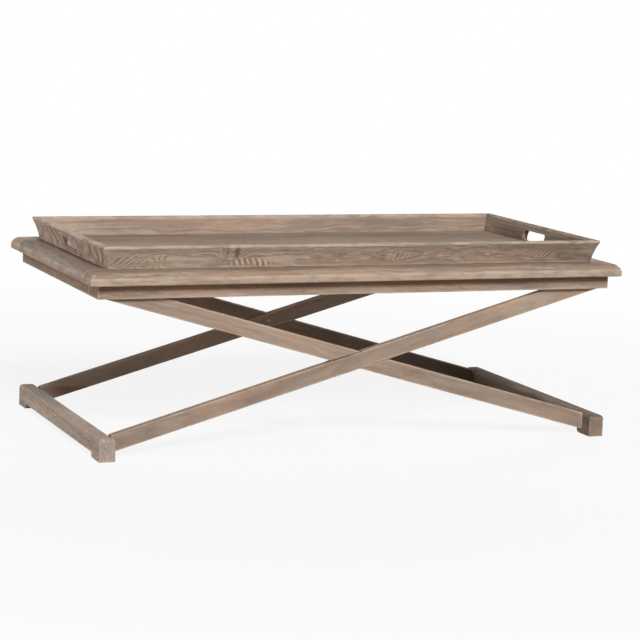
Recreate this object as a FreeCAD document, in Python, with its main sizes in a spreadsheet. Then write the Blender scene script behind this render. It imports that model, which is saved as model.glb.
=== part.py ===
"""Low coffee table: a lift-off tray on a moulded top board, carried by two crossed leg frames.

The long side runs along X, the front faces -Y, and Z is up. The origin is on the floor, under the
middle of the table. Front and back pieces, and left and right pieces, are the same piece turned
half a turn about Z, so each one is drawn once, at the front or at the left.
"""
import FreeCAD, Part
import math
import os
import Sketcher

DRIVING_SIZES = {
    # top board: two long edge boards, two end boards between them, planks in the middle
    "board_length": 1350.0,
    "board_width": 675.0,
    "board_thickness": 30.0,
    "edge_board_width": 64.0,
    "nose_round_width": 21.0,
    "nose_round_height": 20.0,
    "nose_lower_round": 3.5,
    # flat frame under the board, whose edge shows as the apron
    "apron_inset": 24.0,
    "apron_height": 32.0,
    "apron_member_width": 70.0,
    "cross_bar_width": 60.0,
    "cross_bar_offset": 230.0,
    "floor_to_apron": 365.0,
    # crossed legs
    "leg_width": 38.5,
    "leg_thickness": 20.0,
    "leg_setback": 12.0,
    "leg_top_inset": 16.0,
    "leg_heel_height": 13.0,
    "tenon_length": 18.0,
    "tenon_thickness": 8.0,
    "tenon_shoulder": 7.0,
    "mortise_clearance": 0.2,
    # floor rails with their feet
    "rail_overhang": 36.0,
    "rail_width": 38.0,
    "rail_height": 53.0,
    "rail_inset": 4.0,
    "rail_round": 9.0,
    "foot_length": 62.0,
    "foot_height": 12.0,
    "foot_round": 10.0,
    # lift-off tray
    "tray_gap": 0.3,
    "tray_end_margin": 41.5,
    "tray_side_margin": 43.5,
    "tray_height": 53.0,
    "tray_flare": 14.5,
    "tray_lip_height": 5.5,
    "tray_rim_width": 15.0,
    "tray_foot_inset": 31.0,
    "cove_depth": 2.0,
    "tray_floor_thickness": 7.0,
    "tray_floor_lift": 2.5,
    "tray_groove_depth": 6.0,
    "groove_clearance": 0.2,
    "slot_length": 110.0,
    "slot_height": 26.0,
    "slot_top_margin": 16.0,
    "slot_corner_radius": 9.0,
    # dowels, pins and screws
    "dowel_radius": 4.0,
    "dowel_length": 50.0,
    "dowel_pitch": 34.0,
    "pin_radius": 1.5,
    "pin_length": 14.0,
    "screw_radius": 2.0,
    "screw_length": 50.0,
    "screw_head_radius": 4.0,
    "screw_head_height": 2.5,
    "crossing_screw_length": 16.0,
    "leg_screw_edge": 20.0,
    "leg_screw_pitch": 30.0,
    "board_screw_inset": 12.0,
    "board_screw_offset": 400.0,
    "end_screw_inset": 20.0,
    "end_screw_offset": 120.0,
    "hole_clearance": 0.1,
    "overrun": 5.0,
}
PLANK_COUNT = 4
LOW_PIN_SHARE = 0.3
HIGH_PIN_SHARE = 0.7

doc = FreeCAD.newDocument("CoffeeTable")
sheet = doc.addObject("Spreadsheet::Sheet", "Sizes")
for row, (word, millimetres) in enumerate(DRIVING_SIZES.items(), start=1):
    sheet.set(f"A{row}", word)
    sheet.set(f"B{row}", str(millimetres))
    sheet.setAlias(f"B{row}", word)
doc.recompute()

HALF_TURN = FreeCAD.Rotation(FreeCAD.Vector(0, 0, 1), 180)
NO_TURN = FreeCAD.Rotation()
UP = FreeCAD.Rotation()
DOWN = FreeCAD.Rotation(FreeCAD.Vector(1, 0, 0), 180)
ALONG_Y = FreeCAD.Rotation(FreeCAD.Vector(1, 0, 0), -90)
AGAINST_Y = FreeCAD.Rotation(FreeCAD.Vector(1, 0, 0), 90)


def size(word):
    """The expression that reads one driving size."""
    return "Sizes." + word


def number(expression):
    """The value of an expression at the present sizes, for a first guess at geometry."""
    value = sheet.evalExpression(expression)
    return float(getattr(value, "Value", value))


# Reaches from the middle of the table, and heights above the floor
BOARD_X = "Sizes.board_length / 2"
BOARD_Y = "Sizes.board_width / 2"
INNER_X = "(Sizes.board_length / 2 - Sizes.edge_board_width)"
INNER_Y = "(Sizes.board_width / 2 - Sizes.edge_board_width)"
APRON_X = "(Sizes.board_length / 2 - Sizes.apron_inset)"
APRON_Y = "(Sizes.board_width / 2 - Sizes.apron_inset)"
APRON_MIDDLE_X = f"({APRON_X} - Sizes.apron_member_width / 2)"
APRON_INNER_Y = f"({APRON_Y} - Sizes.apron_member_width)"
BOARD_BOTTOM = "(Sizes.floor_to_apron + Sizes.apron_height)"
TRAY_BOTTOM = f"({BOARD_BOTTOM} + Sizes.board_thickness + Sizes.tray_gap)"
TRAY_X = "(Sizes.board_length / 2 - Sizes.tray_end_margin)"
TRAY_Y = "(Sizes.board_width / 2 - Sizes.tray_side_margin)"
RAIL_OUTER_X = f"({APRON_X} - Sizes.rail_inset)"
RAIL_INNER_X = f"({RAIL_OUTER_X} - Sizes.rail_width)"
LEG_FACE_Y = f"({APRON_Y} - Sizes.leg_setback)"
LEG_MIDDLE_Y = f"({LEG_FACE_Y} - Sizes.leg_thickness / 2)"
LEG_INNER_Y = f"({LEG_FACE_Y} - Sizes.leg_thickness)"

# A leg falls from its top corner, under the apron, to its heel at the far floor rail
LEG_TOP_X = f"({APRON_X} - Sizes.leg_top_inset)"
LEG_SLOPE = f"((Sizes.floor_to_apron - Sizes.leg_heel_height) / ({LEG_TOP_X} + {RAIL_INNER_X}))"
LEG_RISE = f"(Sizes.leg_width * sqrt(1 + {LEG_SLOPE} ^ 2))"
LEG_RUN = f"({LEG_RISE} / {LEG_SLOPE})"
CROSSING_LOW_Z = f"(Sizes.floor_to_apron - {LEG_SLOPE} * {LEG_TOP_X})"
CROSSING_Z = f"({CROSSING_LOW_Z} + {LEG_RISE} / 2)"


def place(item, rotation=NO_TURN, x=None, y=None, z=None):
    """Turns an object and ties the given parts of its position to expressions."""
    item.Placement = FreeCAD.Placement(FreeCAD.Vector(), rotation)
    for letter, expression in (("x", x), ("y", y), ("z", z)):
        if expression is not None:
            item.setExpression("Placement.Base." + letter, expression)


def new_body(label, rotation=NO_TURN, z=None):
    """One sub-part, drawn at the height of its own lower face."""
    body = doc.addObject("PartDesign::Body", label)
    body.Label = label
    place(body, rotation, z=z)
    return body


def new_sketch(body, plane, name):
    """An empty sketch on one of the body's own origin planes."""
    sketch = body.newObject("Sketcher::SketchObject", name)
    origin_planes = {feature.Role: feature for feature in body.Origin.OriginFeatures}
    sketch.AttachmentSupport = [(origin_planes[plane], "")]
    sketch.MapMode = "FlatFace"
    return sketch


def arc_to(start, end, radius, turn):
    """The minor arc from start to end; turn is 1 for counter-clockwise, -1 for clockwise."""
    chord = end - start
    across = FreeCAD.Vector(-chord.y, chord.x, 0) * (turn / chord.Length)
    rise = math.sqrt(max(radius ** 2 - (chord.Length / 2) ** 2, 0))
    centre = (start + end) * 0.5 + across * rise
    first, last = (start, end) if turn > 0 else (end, start)
    angles = [math.atan2(point.y - centre.y, point.x - centre.x) for point in (first, last)]
    if angles[1] < angles[0]:
        angles[1] += 2 * math.pi
    circle = Part.Circle(centre, FreeCAD.Vector(0, 0, 1), radius)
    return Part.ArcOfCircle(circle, angles[0], angles[1])


def draw(sketch, corners, arcs=None):
    """Adds a closed outline whose corners, and the radii of its arcs, are tied to expressions.

    arcs maps the number of a corner to the (radius, turn) of the arc that leaves it.
    """
    arcs = arcs or {}
    points = [FreeCAD.Vector(number(x), number(y), 0) for x, y in corners]
    ends = []
    for index, start in enumerate(points):
        end = points[(index + 1) % len(points)]
        if index in arcs:
            radius, turn = arcs[index]
            edge = sketch.addGeometry(arc_to(start, end, number(radius), turn), False)
            ends.append((edge, 1, 2) if turn > 0 else (edge, 2, 1))
        else:
            edge = sketch.addGeometry(Part.LineSegment(start, end), False)
            ends.append((edge, 1, 2))
    for index, (edge, here, _) in enumerate(ends):
        before, _, there = ends[index - 1]
        sketch.addConstraint(Sketcher.Constraint("Coincident", before, there, edge, here))
        point = points[index]
        for kind, value, expression in zip(("DistanceX", "DistanceY"), point, corners[index]):
            rule = sketch.addConstraint(Sketcher.Constraint(kind, -1, 1, edge, here, value))
            sketch.setExpression(f"Constraints[{rule}]", expression)
        if index in arcs:
            radius = arcs[index][0]
            rule = sketch.addConstraint(Sketcher.Constraint("Radius", edge, number(radius)))
            sketch.setExpression(f"Constraints[{rule}]", radius)


def mirrored(corners):
    """The same outline on the other side of the sketch's upright axis."""
    return [(f"-({x})", y) for x, y in corners]


def mirrored_arcs(arcs):
    """The arcs of a mirrored outline, which turn the other way."""
    return {index: (radius, -turn) for index, (radius, turn) in arcs.items()}


def rectangle(low_x, low_y, high_x, high_y):
    """Corners of an upright rectangle, counter-clockwise."""
    return [(low_x, low_y), (high_x, low_y), (high_x, high_y), (low_x, high_y)]


def pad(body, sketch, length):
    """Thickens a sketch evenly to both sides of its plane."""
    feature = body.newObject("PartDesign::Pad", sketch.Name + "_pad")
    feature.Profile = sketch
    feature.SideType = "Symmetric"
    feature.setExpression("Length", length)
    sketch.Visibility = False
    return feature


def pad_from(body, sketch, offset, length):
    """Thickens a sketch to one side, from a plane moved along the sketch's normal by offset."""
    sketch.setExpression("AttachmentOffset.Base.z", offset)
    feature = body.newObject("PartDesign::Pad", sketch.Name + "_pad")
    feature.Profile = sketch
    feature.setExpression("Length", length)
    sketch.Visibility = False
    return feature


def pocket_through(body, sketch):
    """Cuts a sketch's outline away on both sides of its plane, through everything."""
    feature = body.newObject("PartDesign::Pocket", sketch.Name + "_cut")
    feature.Profile = sketch
    feature.SideType = "Symmetric"
    feature.Type = "ThroughAll"
    sketch.Visibility = False
    return feature


def cut_block(body, name, corner, lengths):
    """Cuts a box out of a body, from its low corner."""
    block = body.newObject("PartDesign::SubtractiveBox", name)
    for letter, expression in zip("xyz", corner):
        block.setExpression("Placement.Base." + letter, expression)
    for side, expression in zip(("Length", "Width", "Height"), lengths):
        block.setExpression(side, expression)
    return block


def cut_bore(body, name, radius, length, start, rotation):
    """Cuts a round hole that starts at a point and runs along the turned Z axis."""
    bore = body.newObject("PartDesign::SubtractiveCylinder", name)
    bore.setExpression("Radius", radius)
    bore.setExpression("Height", length)
    place(bore, rotation, *start)
    return bore


def cut_countersink(body, name, start, rotation):
    """Cuts the cone of a screw's head, widest at the face that the screw enters."""
    cone = body.newObject("PartDesign::SubtractiveCone", name)
    cone.setExpression("Radius1", f"{size('screw_head_radius')} + {size('hole_clearance')}")
    cone.setExpression("Radius2", f"{size('screw_radius')} + {size('hole_clearance')}")
    cone.setExpression("Height", size("screw_head_height"))
    place(cone, rotation, *start)
    return cone


def round_edges(body, name, radius, wanted):
    """Rounds those edges of the body's present solid that the test picks out."""
    doc.recompute()
    base = body.Tip
    picked = [f"Edge{index}" for index, edge in enumerate(base.Shape.Edges, start=1) if wanted(edge)]
    feature = body.newObject("PartDesign::Fillet", name)
    feature.Base = (base, picked)
    feature.setExpression("Radius", radius)
    return feature


# Edge of the top board: a flat underside, a short upright face and a wide quarter round
NOSE_RADIUS = ("((Sizes.nose_round_width ^ 2 + Sizes.nose_round_height ^ 2)"
               " / (2 * Sizes.nose_round_height))")
NOSE_SHOULDER = "(Sizes.board_thickness - Sizes.nose_round_height)"


def nose_profile(reach, width):
    """Section of an edge board whose nose points to the left at the given reach."""
    corners = [
        (f"-({reach}) + {size('nose_lower_round')}", "0"),
        (f"-({reach}) + {width}", "0"),
        (f"-({reach}) + {width}", size("board_thickness")),
        (f"-({reach}) + {size('nose_round_width')}", size("board_thickness")),
        (f"-({reach})", NOSE_SHOULDER),
        (f"-({reach})", size("nose_lower_round")),
    ]
    return corners, {3: (NOSE_RADIUS, 1), 5: (size("nose_lower_round"), 1)}


def nose_waste(reach):
    """What is cut off a board's end to leave the same nose there, pointing to the left."""
    beyond = f"-({reach}) - 2 * {size('overrun')}"
    under = f"-{size('overrun')}"
    above = f"{size('board_thickness')} + {size('overrun')}"
    corners = [
        (f"-({reach}) + {size('nose_round_width')}", size("board_thickness")),
        (f"-({reach})", NOSE_SHOULDER),
        (f"-({reach})", size("nose_lower_round")),
        (f"-({reach}) + {size('nose_lower_round')}", "0"),
        (f"-({reach}) + {size('nose_lower_round')}", under),
        (beyond, under),
        (beyond, above),
        (f"-({reach}) + {size('nose_round_width')}", above),
    ]
    return corners, {0: (NOSE_RADIUS, 1), 2: (size("nose_lower_round"), 1)}


def edge_dowel_places():
    """X places of the two dowels in each joint between an end board and an edge board."""
    middle = f"({BOARD_X} - {size('edge_board_width')} / 2)"
    return [f"{middle} {sign} {size('dowel_pitch')} / 2" for sign in "-+"]


def frame_dowel_places():
    """X places of the dowels at one end of the end rail and of the cross bar, on one side."""
    middles = [APRON_MIDDLE_X, size("cross_bar_offset")]
    return [f"{middle} {sign} {size('dowel_pitch')} / 2" for middle in middles for sign in "-+"]


def dowel_hole(body, across, face_y, height):
    """Cuts one dowel hole along Y, half of it to each side of a joint face."""
    radius = f"{size('dowel_radius')} + {size('hole_clearance')}"
    length = f"({size('dowel_length')} + 2 * {size('hole_clearance')})"
    cut_bore(body, "dowel_hole", radius, length, (across, f"{face_y} - {length} / 2", height), ALONG_Y)


def board_edge(label, rotation):
    """Long edge board, drawn at the front, with the nose along its face and both ends."""
    body = new_body(label, rotation, BOARD_BOTTOM)
    section = new_sketch(body, "YZ_Plane", "section")
    draw(section, *nose_profile(BOARD_Y, size("edge_board_width")))
    pad(body, section, f"{size('board_length')} + 2 * {size('overrun')}")
    ends = new_sketch(body, "XZ_Plane", "ends")
    corners, arcs = nose_waste(BOARD_X)
    draw(ends, corners, arcs)
    draw(ends, mirrored(corners), mirrored_arcs(arcs))
    pocket_through(body, ends)
    for across in edge_dowel_places():
        for side in ("-", ""):
            dowel_hole(body, f"{side}({across})", f"-{INNER_Y}", f"{size('board_thickness')} / 2")


def board_end(label, rotation):
    """End board, drawn at the left, between the two long edge boards."""
    body = new_body(label, rotation, BOARD_BOTTOM)
    section = new_sketch(body, "XZ_Plane", "section")
    draw(section, *nose_profile(BOARD_X, size("edge_board_width")))
    pad(body, section, f"2 * {INNER_Y}")
    for across in edge_dowel_places():
        for side in ("-", ""):
            dowel_hole(body, f"-({across})", f"{side}{INNER_Y}", f"{size('board_thickness')} / 2")
    for side in ("-", ""):
        start = (f"-{END_SCREW_X}", f"{side}{size('end_screw_offset')}", f"-{size('apron_height')}")
        drill_screw(body, "board_screw_hole", start, UP, head=False)


# Screws: the long ones join board to frame and frame to legs, the short ones pin the crossings
LEG_SCREW_FIRST = f"({LEG_TOP_X} - {LEG_RUN} + {size('leg_screw_edge')})"
LEG_SCREW_PLACES = [LEG_SCREW_FIRST, f"({LEG_SCREW_FIRST} + {size('leg_screw_pitch')})"]
BOARD_SCREW_PLACES = ["0", size("board_screw_offset"), f"-{size('board_screw_offset')}"]
BOARD_SCREW_Y = f"({INNER_Y} - {size('board_screw_inset')})"
END_SCREW_X = f"({INNER_X} + {size('end_screw_inset')})"
SCREW_HOLE_RADIUS = f"{size('screw_radius')} + {size('hole_clearance')}"
SCREW_HOLE_LENGTH = f"{size('screw_length')} + {size('hole_clearance')}"


def drill_screw(body, name, start, rotation, head):
    """Cuts the hole of a long screw that starts at its head's face."""
    cut_bore(body, name, SCREW_HOLE_RADIUS, SCREW_HOLE_LENGTH, start, rotation)
    if head:
        cut_countersink(body, name + "_head", start, rotation)


def field_plank(index):
    """One of the planks that fill the top board, counted from the front."""
    body = new_body(f"top_plank_{index + 1}", z=BOARD_BOTTOM)
    width = f"(2 * {INNER_Y} / {PLANK_COUNT})"
    low_y = f"(-{INNER_Y} + {index} * {width})"
    section = new_sketch(body, "YZ_Plane", "section")
    draw(section, rectangle(low_y, "0", f"{low_y} + {width}", size("board_thickness")))
    pad(body, section, f"2 * {INNER_X}")
    side = {0: "-", PLANK_COUNT - 1: ""}.get(index)
    if side is not None:
        for across in BOARD_SCREW_PLACES:
            start = (across, f"{side}{BOARD_SCREW_Y}", f"-{size('apron_height')}")
            drill_screw(body, "board_screw_hole", start, UP, head=False)


def apron_long(label, rotation):
    """Long member of the flat frame, drawn at the front."""
    body = new_body(label, rotation, size("floor_to_apron"))
    section = new_sketch(body, "YZ_Plane", "section")
    draw(section, rectangle(f"-{APRON_Y}", "0", f"-{APRON_INNER_Y}", size("apron_height")))
    pad(body, section, f"2 * {APRON_X}")
    for across in frame_dowel_places():
        for side in ("-", ""):
            dowel_hole(body, f"{side}({across})", f"-{APRON_INNER_Y}", f"{size('apron_height')} / 2")
    for across in LEG_SCREW_PLACES:
        for side in ("-", ""):
            start = (f"{side}{across}", f"-{LEG_MIDDLE_Y}", size("apron_height"))
            drill_screw(body, "leg_screw_hole", start, DOWN, head=True)
    for across in BOARD_SCREW_PLACES:
        drill_screw(body, "board_screw_hole", (across, f"-{BOARD_SCREW_Y}", "0"), UP, head=True)


def apron_member(label, rotation, middle, width, screw_x=None):
    """Member of the flat frame that runs from front to back, drawn on the left."""
    body = new_body(label, rotation, size("floor_to_apron"))
    section = new_sketch(body, "XZ_Plane", "section")
    low_x = f"-({middle}) - {width} / 2"
    draw(section, rectangle(low_x, "0", f"{low_x} + {width}", size("apron_height")))
    pad(body, section, f"2 * {APRON_INNER_Y}")
    for sign in "-+":
        for side in ("-", ""):
            across = f"-({middle}) {sign} {size('dowel_pitch')} / 2"
            dowel_hole(body, across, f"{side}{APRON_INNER_Y}", f"{size('apron_height')} / 2")
    if screw_x is not None:
        for side in ("-", ""):
            start = (f"-{screw_x}", f"{side}{size('end_screw_offset')}", "0")
            drill_screw(body, "board_screw_hole", start, UP, head=True)


def leg_outline():
    """Leg that falls to the right, without its tenon, on the front plane."""
    return [
        (f"-{LEG_TOP_X}", size("floor_to_apron")),
        (RAIL_INNER_X, size("leg_heel_height")),
        (RAIL_INNER_X, f"{size('leg_heel_height')} + {LEG_RISE}"),
        (f"-{LEG_TOP_X} + {LEG_RUN}", size("floor_to_apron")),
    ]


def leg_tenon_outline():
    """Stub tenon at the heel of a leg that falls to the right."""
    low = f"{size('leg_heel_height')} + {size('tenon_shoulder')}"
    high = f"{size('leg_heel_height')} + {LEG_RISE} - {size('tenon_shoulder')}"
    return rectangle(RAIL_INNER_X, low, f"{RAIL_INNER_X} + {size('tenon_length')}", high)


def crossing_band():
    """The stretch of a leg that falls to the right in which the other leg crosses it."""
    reach = f"({LEG_RUN} / 2 + {size('overrun')})"
    corners = []
    for across, lift in ((f"-{reach}", "0"), (reach, "0"), (reach, LEG_RISE), (f"-{reach}", LEG_RISE)):
        height = f"{size('floor_to_apron')} - {LEG_SLOPE} * ({across} + {LEG_TOP_X}) + {lift}"
        corners.append((across, height))
    return corners


def leg(label, rotation, falls_right):
    """One leg of a crossed pair, drawn at the front, with its half lap and its tenon."""
    body = new_body(label, rotation)
    outline = leg_outline()
    tenon_outline = leg_tenon_outline()
    lap_outline = crossing_band()
    if falls_right:
        lap_outline = mirrored(lap_outline)
    else:
        outline = mirrored(outline)
        tenon_outline = mirrored(tenon_outline)
    blank = new_sketch(body, "XZ_Plane", "blank")
    draw(blank, outline)
    pad_from(body, blank, LEG_INNER_Y, size("leg_thickness"))
    tenon = new_sketch(body, "XZ_Plane", "tenon")
    draw(tenon, tenon_outline)
    pad_from(body, tenon, f"{LEG_MIDDLE_Y} - {size('tenon_thickness')} / 2", size("tenon_thickness"))
    # the left-falling leg keeps its outer half at the crossing, the other keeps its inner half
    lap = new_sketch(body, "XZ_Plane", "lap")
    draw(lap, lap_outline)
    lap_start = LEG_MIDDLE_Y if falls_right else f"{LEG_INNER_Y} - {size('overrun')}"
    lap.setExpression("AttachmentOffset.Base.z", lap_start)
    cut = body.newObject("PartDesign::Pocket", "lap_cut")
    cut.Profile = lap
    cut.Reversed = True
    cut.setExpression("Length", f"{size('leg_thickness')} / 2 + {size('overrun')}")
    lap.Visibility = False
    start = ("0", f"-{LEG_INNER_Y}", CROSSING_Z)
    length = f"{size('crossing_screw_length')} + {size('hole_clearance')}"
    cut_bore(body, "crossing_hole", SCREW_HOLE_RADIUS, length, start, AGAINST_Y)
    if falls_right:
        cut_countersink(body, "crossing_head", start, AGAINST_Y)
    side = "-" if falls_right else ""
    for across in LEG_SCREW_PLACES:
        start = (f"{side}{across}", f"-{LEG_MIDDLE_Y}", BOARD_BOTTOM)
        drill_screw(body, "leg_screw_hole", start, DOWN, head=False)


def floor_rail(label, rotation):
    """Floor rail with its two feet, drawn on the left, with a mortise for each leg."""
    body = new_body(label, rotation)
    reach = f"({LEG_FACE_Y} + {size('rail_overhang')})"
    heel = f"({reach} - {size('foot_length')})"
    outline = [
        (f"-{reach}", "0"),
        (f"-{heel}", "0"),
        (f"-{heel}", size("foot_height")),
        (heel, size("foot_height")),
        (heel, "0"),
        (reach, "0"),
        (reach, size("rail_height")),
        (f"-{reach}", size("rail_height")),
    ]
    side = new_sketch(body, "YZ_Plane", "side")
    draw(side, outline)
    pad_from(body, side, f"-{RAIL_OUTER_X}", size("rail_width"))
    middle_z = number(f"{size('rail_height')} / 2")
    sole_z = number(f"{size('foot_height')} / 2")
    sole_y = number(f"{reach} - {size('foot_length')} / 2")

    def along_top(edge):
        return all(vertex.Z > middle_z for vertex in edge.Vertexes)

    def under_heel(edge):
        return all(vertex.Z < sole_z and abs(vertex.Y) < sole_y for vertex in edge.Vertexes)

    round_edges(body, "top_round", size("rail_round"), along_top)
    round_edges(body, "heel_round", size("foot_round"), under_heel)
    play = size("mortise_clearance")
    lengths = (
        f"{size('tenon_length')} + {play}",
        f"{size('tenon_thickness')} + 2 * {play}",
        f"{LEG_RISE} - 2 * {size('tenon_shoulder')} + 2 * {play}",
    )
    low_z = f"{size('leg_heel_height')} + {size('tenon_shoulder')} - {play}"
    low_x = f"-{RAIL_INNER_X} - {size('tenon_length')} - {play}"
    for sign in ("-", ""):
        low_y = f"{sign}{LEG_MIDDLE_Y} - {size('tenon_thickness')} / 2 - {play}"
        cut_block(body, "mortise", (low_x, low_y, low_z), lengths)


# Tray wall: coved and flared outside, with an upright lip, leaning inside, grooved for the floor
GROOVE_LOW = "(Sizes.tray_floor_lift - Sizes.groove_clearance)"
GROOVE_HIGH = "(Sizes.tray_floor_lift + Sizes.tray_floor_thickness + Sizes.groove_clearance)"
WALL_LEAN = "((Sizes.tray_foot_inset - Sizes.tray_rim_width) / Sizes.tray_height)"
COVE_HEIGHT = "(Sizes.tray_height - Sizes.tray_lip_height)"
COVE_RADIUS = (f"(((Sizes.tray_flare ^ 2 + {COVE_HEIGHT} ^ 2) / 4 + Sizes.cove_depth ^ 2)"
               " / (2 * Sizes.cove_depth))")
PIN_INSET_LOW = "((Sizes.tray_flare + Sizes.tray_foot_inset) / 2)"
PIN_INSET_HIGH = "(Sizes.tray_rim_width / 2)"


def tray_wall_profile(reach):
    """Section of a tray wall whose outside points to the left at the given reach."""
    def inner(height):
        return f"-({reach}) + {size('tray_foot_inset')} - {WALL_LEAN} * {height}"

    groove = f"-({reach}) + {size('tray_foot_inset')} - {size('tray_groove_depth')}"
    corners = [
        (f"-({reach}) + {size('tray_flare')}", "0"),
        (inner("0"), "0"),
        (inner(GROOVE_LOW), GROOVE_LOW),
        (groove, GROOVE_LOW),
        (groove, GROOVE_HIGH),
        (inner(GROOVE_HIGH), GROOVE_HIGH),
        (f"-({reach}) + {size('tray_rim_width')}", size("tray_height")),
        (f"-({reach})", size("tray_height")),
        (f"-({reach})", COVE_HEIGHT),
    ]
    return corners, {8: (COVE_RADIUS, -1)}


MITRE_DEPTH = "(Sizes.tray_foot_inset + Sizes.overrun)"


def side_mitre_waste():
    """Triangle cut off the right end of the front wall, seen from above."""
    beyond = size("overrun")
    return [
        (f"{TRAY_X} + {beyond}", f"-{TRAY_Y} - {beyond}"),
        (f"{TRAY_X} + {beyond}", f"-{TRAY_Y} + {MITRE_DEPTH}"),
        (f"{TRAY_X} - {MITRE_DEPTH}", f"-{TRAY_Y} + {MITRE_DEPTH}"),
    ]


def end_mitre_waste():
    """Triangle cut off the front end of the left wall, seen from above."""
    beyond = size("overrun")
    return [
        (f"-{TRAY_X} - {beyond}", f"-{TRAY_Y} - {beyond}"),
        (f"-{TRAY_X} + {MITRE_DEPTH}", f"-{TRAY_Y} - {beyond}"),
        (f"-{TRAY_X} + {MITRE_DEPTH}", f"-{TRAY_Y} + {MITRE_DEPTH}"),
    ]


def pin_inset(share):
    """Distance of a corner pin's middle from the rim's outer faces, at a share of the height."""
    return f"({PIN_INSET_LOW} + {share} * ({PIN_INSET_HIGH} - {PIN_INSET_LOW}))"


def pin_start(side_x, side_y, share, length):
    """Low end of the pin through one corner's mitre, on the side towards that corner's X face."""
    inset = pin_inset(share)
    half = f"{length} / 2 / sqrt(2)"
    start_x = f"{side_x} * ({TRAY_X} - {inset}) - {side_x} * {half}"
    start_y = f"{side_y} * ({TRAY_Y} - {inset}) + {side_y} * {half}"
    return start_x, start_y


def pin_rotation(side_x, side_y):
    """Turn that lays a cylinder across one corner's mitre."""
    return FreeCAD.Rotation(FreeCAD.Vector(0, 0, 1), FreeCAD.Vector(side_x, -side_y, 0))


def drill_pins(body, corners):
    """Cuts the pin holes at the given corners, for a wall that isn't turned."""
    radius = f"{size('pin_radius')} + {size('hole_clearance')}"
    length = f"({size('pin_length')} + 2 * {size('hole_clearance')})"
    for side_x, side_y in corners:
        for share in (LOW_PIN_SHARE, HIGH_PIN_SHARE):
            start_x, start_y = pin_start(side_x, side_y, share, length)
            start = (start_x, start_y, f"{share} * {size('tray_height')}")
            cut_bore(body, "pin_hole", radius, length, start, pin_rotation(side_x, side_y))


def tray_side(label, rotation):
    """Long tray wall, drawn at the front, mitred at both ends."""
    body = new_body(label, rotation, TRAY_BOTTOM)
    section = new_sketch(body, "YZ_Plane", "section")
    draw(section, *tray_wall_profile(TRAY_Y))
    pad(body, section, f"2 * {TRAY_X}")
    mitres = new_sketch(body, "XY_Plane", "mitres")
    waste = side_mitre_waste()
    draw(mitres, waste)
    draw(mitres, mirrored(waste))
    pocket_through(body, mitres)
    drill_pins(body, [(-1, -1), (1, -1)])


def tray_end(label, rotation):
    """Short tray wall, drawn at the left, mitred at both ends, with a slot for the hand."""
    body = new_body(label, rotation, TRAY_BOTTOM)
    section = new_sketch(body, "XZ_Plane", "section")
    draw(section, *tray_wall_profile(TRAY_X))
    pad(body, section, f"2 * {TRAY_Y}")
    mitres = new_sketch(body, "XY_Plane", "mitres")
    waste = end_mitre_waste()
    draw(mitres, waste)
    draw(mitres, [(x, f"-({y})") for x, y in waste])
    pocket_through(body, mitres)
    slot = new_sketch(body, "YZ_Plane", "slot")
    draw(slot, *slot_outline())
    cut = body.newObject("PartDesign::Pocket", "slot_cut")
    cut.Profile = slot
    cut.Reversed = False
    cut.setExpression("Length", TRAY_X)
    slot.Visibility = False
    drill_pins(body, [(-1, -1), (-1, 1)])


def slot_outline():
    """Rounded oblong of the hand slot, on the end wall's face."""
    half = f"{size('slot_length')} / 2"
    high = f"{size('tray_height')} - {size('slot_top_margin')}"
    low = f"{high} - {size('slot_height')}"
    corner = size("slot_corner_radius")
    corners = [
        (f"-({half}) + {corner}", low),
        (f"{half} - {corner}", low),
        (half, f"{low} + {corner}"),
        (half, f"{high} - {corner}"),
        (f"{half} - {corner}", high),
        (f"-({half}) + {corner}", high),
        (f"-({half})", f"{high} - {corner}"),
        (f"-({half})", f"{low} + {corner}"),
    ]
    return corners, {1: (corner, 1), 3: (corner, 1), 5: (corner, 1), 7: (corner, 1)}


def tray_floor():
    """Floor panel of the tray, held in the grooves of the four walls."""
    panel = doc.addObject("Part::Box", "tray_floor")
    panel.Label = "tray_floor"
    inset = f"({size('tray_foot_inset')} - {size('tray_groove_depth')} + {size('groove_clearance')})"
    half_x = f"({TRAY_X} - {inset})"
    half_y = f"({TRAY_Y} - {inset})"
    panel.setExpression("Length", f"2 * {half_x}")
    panel.setExpression("Width", f"2 * {half_y}")
    panel.setExpression("Height", size("tray_floor_thickness"))
    place(panel, x=f"-{half_x}", y=f"-{half_y}", z=f"{TRAY_BOTTOM} + {size('tray_floor_lift')}")


def cylinder(name, radius, length, start, rotation):
    """A plain round bar that starts at a point and runs along the turned Z axis."""
    bar = doc.addObject("Part::Cylinder", name)
    bar.setExpression("Radius", radius)
    bar.setExpression("Height", length)
    place(bar, rotation, *start)
    return bar


def screw(name, length, start, rotation):
    """A countersunk wood screw, from the face of its head."""
    shank = cylinder(name + "_shank", size("screw_radius"), length, start, rotation)
    head = doc.addObject("Part::Cone", name + "_head")
    head.setExpression("Radius1", size("screw_head_radius"))
    head.setExpression("Radius2", size("screw_radius"))
    head.setExpression("Height", size("screw_head_height"))
    place(head, rotation, *start)
    whole = doc.addObject("Part::Fuse", name)
    whole.Base = shank
    whole.Tool = head
    return whole


def group(label, solids):
    """Equal fasteners kept as one sub-part of separate solids."""
    together = doc.addObject("Part::Compound", label)
    together.Label = label
    together.Links = solids
    place(together)


def dowels(label, face_y, height, places):
    """Dowels through the joint faces at the front and the back, on both sides."""
    bars = []
    for across in places:
        for side in ("-", ""):
            for end in ("-", ""):
                start = (f"{side}({across})", f"{end}{face_y} - {size('dowel_length')} / 2", height)
                bars.append(cylinder("dowel", size("dowel_radius"), size("dowel_length"), start, ALONG_Y))
    group(label, bars)


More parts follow.
